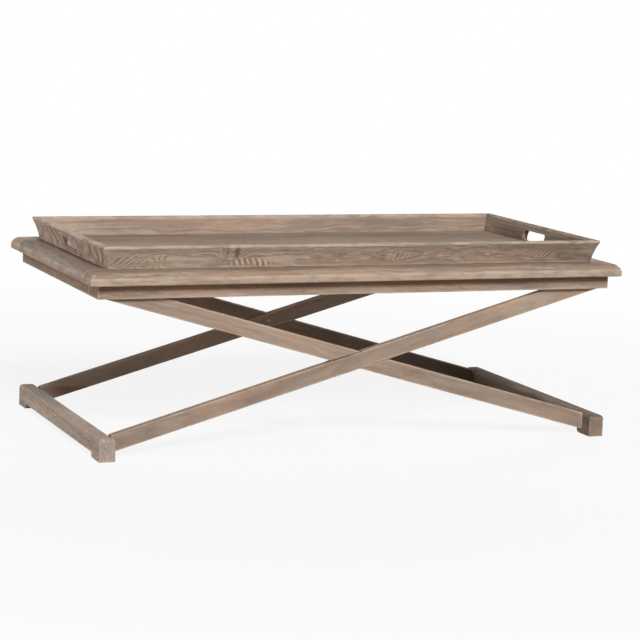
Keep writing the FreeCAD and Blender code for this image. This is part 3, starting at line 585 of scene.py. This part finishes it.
# A cooler copy of the top wood for the left-hand pieces: partly greyer wood, partly painted cool light from
# the left
GREYED_COOL_LIT_WOOD = wood("side_wood_greyed_cool_lit", srgb(206, 190, 179), srgb(177, 159, 147), srgb(137, 118, 107),
                 ring_width=0.008, ring_depth=0.25, swirl=1.4, streak=0.35)
FRAME_WOOD = wood("frame_wood_limed", srgb(194, 176, 161), srgb(169, 150, 134), srgb(132, 111, 95),
                  ring_width=0.008, ring_depth=0.3, swirl=1.2, streak=0.35, knot_share=0.1)
LEG_WOOD = wood("leg_wood_limed", srgb(190, 171, 155), srgb(168, 147, 131), srgb(133, 112, 97),
                ring_width=0.008, ring_depth=0.25, swirl=1.2, streak=0.25, dashes=0.5, knot_share=0.1)
TRAY_COLOURS = (srgb(204, 187, 171), srgb(170, 150, 134), srgb(128, 107, 92))
TRAY_WOOD = wood("tray_wood_limed", *TRAY_COLOURS,
                 ring_width=0.009, ring_depth=0.35, swirl=2.5, streak=0.25, dashes=0.4)


def placed(node, spots):
    """Knots or curls given from the middle of a board, in its grain coordinates."""
    start = BOARDS[node].grain_seed * SEED_SPACING
    side = BOARDS[node].heart[0]
    return [(start + along, side + across, *rest) for along, across, *rest in spots]


FRONT_WOOD = wood("tray_wood_knotted", *TRAY_COLOURS,
                  ring_width=0.006, ring_depth=0.5, swirl=3.6, streak=0.35, knot_share=0.0,
                  knots=placed("tray_wall_front", [(-0.314, 0.011, 0.016, 0.03, 0.9),
                                                   (-0.340, 0.006, 0.014, 0.02, 0.4),
                                                   (-0.53, -0.012, 0.002, 0.04, 1.0),
                                                   (0.47, 0.03, 0.002, 0.05, 1.0)]),
                  curls=placed("tray_wall_front", [(-0.290, -0.014, 0.095, 0.011, 0.5, 0.014, 0.9),
                                                   (-0.570, -0.004, 0.070, 0.016, -1.2, 0.016, 0.6),
                                                   (0.100, -0.010, 0.050, 0.009, -0.6, 0.012, 0.5),
                                                   (0.500, -0.005, 0.080, 0.014, -1.5, 0.012, 0.5)]))
LEFT_WOOD = wood("tray_wood_curled", srgb(212, 196, 182), srgb(172, 152, 136), srgb(140, 119, 104),
                 ring_width=0.018, ring_depth=0.6, swirl=4.0, streak=0.3, dashes=0.5, knot_share=0.0,
                 knots=placed("tray_wall_left", [(0.12, 0.004, 0.006, 0.09, 1.0),
                                                 (-0.10, -0.006, 0.005, 0.09, 1.0),
                                                 (-0.21, 0.006, 0.005, 0.07, 1.0)]),
                 curls=placed("tray_wall_left", [(0.12, 0.0, 0.08, 0.03, -0.8, 0.045, 0.7),
                                                 (-0.21, 0.0, 0.12, 0.03, 1.2, 0.05, 0.9)]))


# Top board
board_low, board_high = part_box("board_edge_back")


def nose_wear_and_highlight(place):
    """How pale the moulded edge is at a place, from wear and painted highlight: its face all over, and most
    along one painted highlight line.
    """
    inset = min(board_high.x - abs(place.x), board_high.y - abs(place.y))
    if inset > NOSE_PALE_INSET:
        return 0.0
    height = place.z - board_low.z
    line = max(1 - abs(height - NOSE_HIGHLIGHT_LINE) / NOSE_FADE, 0)
    face = NOSE_FACE_PALE * min(max((NOSE_PALE_TO - height) / NOSE_FADE, 0), 1)
    return max(line, face)


for node, side in {"board_edge_front": -1, "board_edge_back": 1}.items():
    low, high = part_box(node)
    rings = []
    for inset, z in nose_levels(high.z - low.z):
        outer = low.y + inset if side < 0 else high.y - inset
        inner = high.y if side < 0 else low.y
        left, right = low.x + inset, high.x - inset
        rings.append([(left, outer, low.z + z), (right, outer, low.z + z),
                      (right, inner, low.z + z), (left, inner, low.z + z)])
    bm = loft(rings)
    ease(bm)
    axes = (X, Y, Z)
    add_loops(bm, axes)
    wear(bm, node)
    dress(bm, node, axes, TOP_WOOD, wear_and_highlight=nose_wear_and_highlight)

for node, side in {"board_end_left": -1, "board_end_right": 1}.items():
    low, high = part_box(node)
    rings = []
    for inset, z in nose_levels(high.z - low.z):
        outer = low.x + inset if side < 0 else high.x - inset
        inner = high.x if side < 0 else low.x
        rings.append([(outer, low.y, low.z + z), (inner, low.y, low.z + z),
                      (inner, high.y, low.z + z), (outer, high.y, low.z + z)])
    bm = loft(rings)
    ease(bm)
    axes = (Y, X, Z)
    add_loops(bm, axes)
    wear(bm, node)
    # The left end takes the cooler wood, with painted cool light
    material = GREYED_COOL_LIT_WOOD if side < 0 else TOP_WOOD
    dress(bm, node, axes, material, wear_and_highlight=nose_wear_and_highlight)

for node in ("top_plank_1", "top_plank_2", "top_plank_3", "top_plank_4"):
    bm = block(*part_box(node))
    ease(bm)
    axes = (X, Y, Z)
    add_loops(bm, axes)
    wear(bm, node)
    dress(bm, node, axes, TOP_WOOD)


# Flat frame under the board, with sunk holes for the screw heads
SCREW_PLACES = {
    "apron_front": [(turn * BOARD_SCREW_OFFSET, -BOARD_SCREW_Y) for turn in (-1, 0, 1)],
    "apron_back": [(turn * BOARD_SCREW_OFFSET, BOARD_SCREW_Y) for turn in (-1, 0, 1)],
    "apron_left": [(-END_SCREW_X, turn * END_SCREW_OFFSET) for turn in (-1, 1)],
    "apron_right": [(END_SCREW_X, turn * END_SCREW_OFFSET) for turn in (-1, 1)],
}
FRAME_AXES = {
    "apron_front": (X, Z, Y),
    "apron_back": (X, Z, Y),
    "apron_left": (Y, X, Z),
    "apron_right": (Y, X, Z),
    "cross_bar_left": (Y, X, Z),
    "cross_bar_right": (Y, X, Z),
}


def painted_shade_under_board(place):
    """How much brown painted shade a place gets, close under the board."""
    return UNDER_BOARD_SHADE * min(max((place.z - high.z + UNDER_BOARD_SHADE_DEPTH) / UNDER_BOARD_SHADE_FADE, 0), 1)


for node, axes in FRAME_AXES.items():
    low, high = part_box(node)
    bm = block(low, high)
    ease(bm, BAR_EASE)
    add_loops(bm, axes)
    wear(bm, node)
    cutters = []
    for x, y in SCREW_PLACES.get(node, []):
        cutters.append(cone(SCREW_HOLE, SCREW_HEAD, Vector((x, y, low.z)), Z, SCREW_HEAD_DEPTH))
    if cutters:
        bm = carve(bm, cutters)
    # The band close under the board gets brown painted shade
    dress(bm, node, axes, FRAME_WOOD, brown_painted_shade=painted_shade_under_board)


# Legs: straight bars with slanted ends, halved into each other where they cross
apron_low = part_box("apron_front")[0].z
leg_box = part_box("front_leg_falling_right")
leg_top_x = -leg_box[0].x
rail_inner_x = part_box("floor_rail_right")[0].x
slope = (apron_low - LEG_HEEL) / (leg_top_x + rail_inner_x)
rise = LEG_WIDTH * math.sqrt(1 + slope ** 2)
run = rise / slope


def leg(node, front, falls_right):
    """One leg of the front or back pair."""
    box_low, box_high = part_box(node)
    way = 1 if falls_right else -1
    corners = [
        (-leg_top_x, apron_low),
        (rail_inner_x, LEG_HEEL),
        (rail_inner_x, LEG_HEEL + rise),
        (-leg_top_x + run, apron_low),
    ]
    near, far = box_low.y, box_high.y
    rings = [[(way * x, y, z) for x, z in corners] for y in (near, far)]
    bm = loft(rings)
    along = Vector((way, 0, -slope)).normalized()
    across = along.cross(Y)
    axes = (along, across, Y)
    ease(bm, BAR_EASE)
    add_loops(bm, axes)
    wear(bm, node)

    # The band that the other leg of the pair takes up, which falls the other way
    middle_y = (near + far) / 2
    reach = run / 2 + LAP_MARGIN
    middle_z = apron_low - slope * leg_top_x
    band = []
    for x, lift in ((-reach, 0.0), (reach, 0.0), (reach, rise), (-reach, rise)):
        band.append((-way * x, middle_z - slope * x + lift))
    # Of each pair, the leg that falls to the right loses its front half
    lap = (near - LAP_OVERRUN, middle_y) if falls_right else (middle_y, far + LAP_OVERRUN)
    cutters = [loft([[(x, y, z) for x, z in band] for y in lap])]
    # The leg that keeps its inner half holds the screw's head on its inner face
    if front == falls_right:
        head = Vector((0, far if front else near, middle_z + rise / 2))
        cutters.append(cone(SCREW_HOLE, SCREW_HEAD, head, -Y if front else Y, SCREW_HEAD_DEPTH))
    bm = carve(bm, cutters)
    dress(bm, node, axes, LEG_WOOD)


leg("front_leg_falling_right", front=True, falls_right=True)
leg("front_leg_falling_left", front=True, falls_right=False)
leg("back_leg_falling_left", front=False, falls_right=False)
leg("back_leg_falling_right", front=False, falls_right=True)


# Floor rails with their feet; the right one's end grain has painted light
for node, material, painted_end_light in (("floor_rail_left", GREYED_COOL_LIT_WOOD, 0.0), ("floor_rail_right", LEG_WOOD, 0.35)):
    low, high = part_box(node)
    heel = high.y - FOOT_LENGTH
    side = [(-y, z) for y, z in arc((heel + FOOT_ROUND, FOOT_ROUND), FOOT_ROUND, 180, 270, CORNER_STEPS)]
    outline = [(low.y, low.z)] + list(reversed(side)) + [(-heel, FOOT_HEIGHT), (heel, FOOT_HEIGHT)]
    outline += [(-y, z) for y, z in side] + [(high.y, low.z), (high.y, high.z), (low.y, high.z)]
    bm = loft([[(x, y, z) for y, z in outline] for x in (low.x, high.x)])
    top = []
    for edge in sharp_edges(bm, ARRIS_ANGLE):
        if all(vertex.co.z > high.z - 1e-5 for vertex in edge.verts):
            top.append(edge)
    bevel(bm, top, RAIL_ROUND, RAIL_ROUND_STEPS)
    ease(bm, BAR_EASE)
    axes = (Y, Z, X)
    add_loops(bm, axes)
    wear(bm, node, RAIL_PALE)
    dress(bm, node, axes, material,
          painted_light=lambda place: painted_end_light if abs(place.y) > high.y - EASE else 0.0)


# Tray: four mitred walls round a floor panel
tray_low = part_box("tray_wall_left")[0]
tray_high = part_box("tray_wall_right")[1]


def wall_rings(side, is_long):
    """Rings of one mitred wall: a long wall at the front or back, or else an end wall."""
    rings = []
    for outer, inner, z in tray_levels(tray_high.z - tray_low.z):
        ring = []
        for inset, ends in ((outer, (-1, 1)), (inner, (1, -1))):
            for end in ends:
                turn_x, turn_y = (end, side) if is_long else (side, end)
                ring.append((turn_x * (tray_high.x - inset), turn_y * (tray_high.y - inset), tray_low.z + z))
        rings.append(ring)
    return rings


def rim_wear_and_highlight(place):
    """How pale the rim and its lip are at a place, from wear and painted highlight."""
    return RIM_PALE if place.z > tray_high.z - TRAY_LIP - EDGE_SLACK else 0.0


def close_mitres(bm):
    """Takes the wear off the mitres of a tray wall, which fit closely."""
    worn_and_highlit = bm.verts.layers.float["worn_and_highlit"]
    for vertex in bm.verts:
        end_gap = tray_high.x - abs(vertex.co.x)
        side_gap = tray_high.y - abs(vertex.co.y)
        if abs(end_gap - side_gap) < 2 * EASE:
            vertex[worn_and_highlit] = 0.0


for node, side, material in (("tray_wall_front", -1, FRONT_WOOD), ("tray_wall_back", 1, TRAY_WOOD)):
    bm = loft(wall_rings(side, True))
    ease(bm)
    axes = (X, Z, Y)
    add_loops(bm, axes)
    wear(bm, node)
    close_mitres(bm)
    dress(bm, node, axes, material, wear_and_highlight=rim_wear_and_highlight)


def slot_cutter(middle_x):
    """The rounded oblong of the hand slot, through one end wall."""
    high = tray_high.z - SLOT_TOP_MARGIN - SLOT_CORNER
    low = high - SLOT_HEIGHT + 2 * SLOT_CORNER
    half = SLOT_LENGTH / 2 - SLOT_CORNER
    outline = []
    for centre, start in (((half, low), -90), ((half, high), 0), ((-half, high), 90), ((-half, low), 180)):
        outline += arc(centre, SLOT_CORNER, start, start + 90, CORNER_STEPS)
    return loft([[(middle_x + x, y, z) for y, z in outline] for x in (-SLOT_OVERRUN, SLOT_OVERRUN)])


def painted_slot_and_rim_light(place, inside, rim):
    """Painted light and shade inside the hand slot and on the rim of an end wall, and none elsewhere."""
    if place.z > tray_high.z - EASE:
        return rim
    across = max(abs(place.y) - SLOT_LENGTH / 2 + SLOT_CORNER, 0)
    middle_z = tray_high.z - SLOT_TOP_MARGIN - SLOT_HEIGHT / 2
    above = max(abs(place.z - middle_z) - SLOT_HEIGHT / 2 + SLOT_CORNER, 0)
    return inside if math.hypot(across, above) < SLOT_CORNER + EDGE_SLACK else 0.0


# The left slot gets painted light; the right slot and rim get painted shade
for node, side, material, wear_and_highlight, shades in (
    ("tray_wall_left", -1, LEFT_WOOD, rim_wear_and_highlight, (0.2, 0.0)),
    ("tray_wall_right", 1, TRAY_WOOD, None, (-0.75, -0.5)),
):
    bm = carve(loft(wall_rings(side, False)), [slot_cutter(side * tray_high.x)])
    ease(bm)
    axes = (Y, Z, X)
    slot_high = tray_high.z - SLOT_TOP_MARGIN
    for height in (slot_high + LOOP_MARGIN, slot_high - SLOT_HEIGHT - LOOP_MARGIN):
        split(bm, Z * height, Z)
    slot_reach = SLOT_LENGTH / 2 + LOOP_MARGIN
    add_loops(bm, axes, (-slot_reach, slot_reach))
    wear(bm, node)
    close_mitres(bm)
    dress(bm, node, axes, material, wear_and_highlight=wear_and_highlight,
          painted_light=lambda place: painted_slot_and_rim_light(place, *shades))

low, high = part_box("tray_floor")
bm = block(low, high)
ease(bm)
add_loops(bm, (X, Y, Z))
wear(bm, "tray_floor")
dress(bm, "tray_floor", (X, Y, Z), TOP_WOOD)


# Hidden dowels and steel, kept as the solids draw them
def dowel_material():
    """Plain turned beech."""
    material, tree, output = new_material("dowel_wood_turned")
    place = tree.add("TexCoord").outputs["Object"]
    fibre = tree.noise(place, (700.0, 20.0, 700.0), detail=3.0).outputs["Fac"]
    colour = tree.mix(tree.span(fibre, 0.3, 0.7), srgb(176, 142, 104), srgb(205, 174, 136))
    bump = tree.add("Bump", None, Strength=0.3, Distance=0.0003, Height=fibre).outputs["Normal"]
    rough = tree.span(fibre, 0.3, 0.7, 0.7, 0.55)
    shader = tree.add("BsdfPrincipled", None, Base_Color=colour, Roughness=rough, Normal=bump)
    tree.put(output.inputs["Surface"], shader.outputs[0])
    return material


def steel_material():
    """Zinc-plated steel that has gone dull and dark, with faint turning marks."""
    material, tree, output = new_material("screw_steel_dulled")
    place = tree.add("TexCoord").outputs["Object"]
    marks = tree.noise(place, (2500.0, 2500.0, 300.0)).outputs["Fac"]
    patch = tree.noise(place, (260.0, 260.0, 260.0), shift=9.0).outputs["Fac"]
    colour = tree.mix(tree.span(patch, 0.35, 0.65), srgb(104, 97, 88), srgb(130, 123, 113))
    rough = tree.span(marks, 0.3, 0.7, 0.45, 0.62)
    bump = tree.add("Bump", None, Strength=0.25, Distance=0.0002, Height=marks).outputs["Normal"]
    shader = tree.add("BsdfPrincipled", None, Base_Color=colour, Roughness=rough, Normal=bump, Metallic=1.0)
    tree.put(output.inputs["Surface"], shader.outputs[0])
    return material


DOWEL_WOOD = dowel_material()
STEEL = steel_material()
for node, material in {
    "board_dowels": DOWEL_WOOD,
    "apron_dowels": DOWEL_WOOD,
    "leg_screws": STEEL,
    "board_screws": STEEL,
    "crossing_screws": STEEL,
    "tray_corner_pins": STEEL,
}.items():
    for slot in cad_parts[node].material_slots:
        slot.material = material


# Floor: pale, and white to the camera away from the table's shadow
BOUNCE_COLOUR = (0.55, 0.51, 0.47, 1.0)
FLOOR_COLOUR = (0.9, 0.9, 0.9, 1.0)
WHITE = (1.0, 1.0, 1.0, 1.0)
SHADOW_REACH = 1.0
WHITE_REACH = 3.0
WHITE_SHARE = 0.88
FLOOR_SIDES = 96
FLOOR_RADIUS = 40.0


def floor_material():
    """Matt floor that shows a soft shadow. What the table gets back from it is warmer and weaker."""
    material, tree, output = new_material("studio_floor")
    place = tree.add("TexCoord").outputs["Object"]
    away = tree.length(place)
    white = tree.add("Emission", None, Color=WHITE, Strength=1.0).outputs[0]
    path = tree.add("LightPath")
    seen = tree.math("MAXIMUM", path.outputs["Is Camera Ray"], path.outputs["Is Glossy Ray"])
    seen = tree.math("MAXIMUM", seen, path.outputs["Is Transmission Ray"])
    pale = tree.mix(seen, BOUNCE_COLOUR, FLOOR_COLOUR)
    matt = tree.add("BsdfDiffuse", None, Color=pale).outputs[0]
    share = tree.math("MULTIPLY", seen, tree.span(away, SHADOW_REACH, WHITE_REACH, WHITE_SHARE, 1.0))
    shader = tree.add("MixShader", None, i0=share, i1=matt, i2=white).outputs[0]
    tree.put(output.inputs["Surface"], shader)
    return material


bm = bmesh.new()
bmesh.ops.create_circle(bm, cap_ends=True, segments=FLOOR_SIDES, radius=FLOOR_RADIUS)
floor = as_object(bm, "studio_floor")
floor.data.materials.append(floor_material())


# Light: a soft key from the front, high enough for the board to shade the apron, two low lamps, a pale room
ROOM_LIGHT = 0.06
world = bpy.data.worlds.new("studio_room")
bpy.context.scene.world = world
world.use_nodes = True
world.node_tree.nodes.clear()
room = Tree(world.node_tree)
room_path = room.add("LightPath")
seen = room.math("MAXIMUM", room_path.outputs["Is Camera Ray"], room_path.outputs["Is Glossy Ray"])
seen = room.math("MAXIMUM", seen, room_path.outputs["Is Transmission Ray"])
strength = room.span(seen, 0.0, 1.0, ROOM_LIGHT, 1.0, smooth=False)
background = room.add("Background", None, Color=WHITE, Strength=strength)
room_output = room.add("OutputWorld")
room.put(room_output.inputs["Surface"], background.outputs[0])


def sun(name, azimuth, elevation, power, spread):
    """A distant lamp; azimuth 0 shines from the front, 90 from the right."""
    data = bpy.data.lights.new(name, "SUN")
    data.energy = power
    data.angle = math.radians(spread)
    lamp = bpy.data.objects.new(name, data)
    turn = math.radians(azimuth)
    tilt = math.radians(elevation)
    source = Vector((math.sin(turn) * math.cos(tilt), -math.cos(turn) * math.cos(tilt), math.sin(tilt)))
    lamp.rotation_euler = source.to_track_quat("Z", "Y").to_euler()
    bpy.context.scene.collection.objects.link(lamp)


sun("key_lamp", azimuth=-4, elevation=35.5, power=2.68, spread=16)
sun("left_lamp", azimuth=-78, elevation=0.5, power=1.5, spread=3)
sun("back_lamp", azimuth=150, elevation=4, power=1.8, spread=40)


# Camera, as fitted to the photograph
CAMERA_PLACE = Vector((-2.07777, -4.85690, 1.08912))
CAMERA_YAW = math.radians(23.3832)
CAMERA_PITCH = math.radians(8.9903)
CAMERA_ROLL = math.radians(2.2766)
CAMERA_WIDTH_MM = 36.0
CAMERA_LENS_MM = 121.6256
forward = Vector((math.sin(CAMERA_YAW) * math.cos(CAMERA_PITCH),
                  math.cos(CAMERA_YAW) * math.cos(CAMERA_PITCH),
                  -math.sin(CAMERA_PITCH)))
right = Vector((math.cos(CAMERA_YAW), -math.sin(CAMERA_YAW), 0))
up = right.cross(forward)
rolled_right = math.cos(CAMERA_ROLL) * right + math.sin(CAMERA_ROLL) * up
rolled_up = -math.sin(CAMERA_ROLL) * right + math.cos(CAMERA_ROLL) * up
camera_data = bpy.data.cameras.new("photo_camera")
camera_data.sensor_fit = "HORIZONTAL"
camera_data.sensor_width = CAMERA_WIDTH_MM
camera_data.lens = CAMERA_LENS_MM
camera = bpy.data.objects.new("photo_camera", camera_data)
camera.matrix_world = Matrix.Translation(CAMERA_PLACE) @ Matrix(
    (rolled_right, rolled_up, -forward)).transposed().to_4x4()
bpy.context.scene.collection.objects.link(camera)
bpy.context.scene.camera = camera
bpy.context.scene.view_settings.view_transform = "Standard"

bpy.context.view_layer.update()
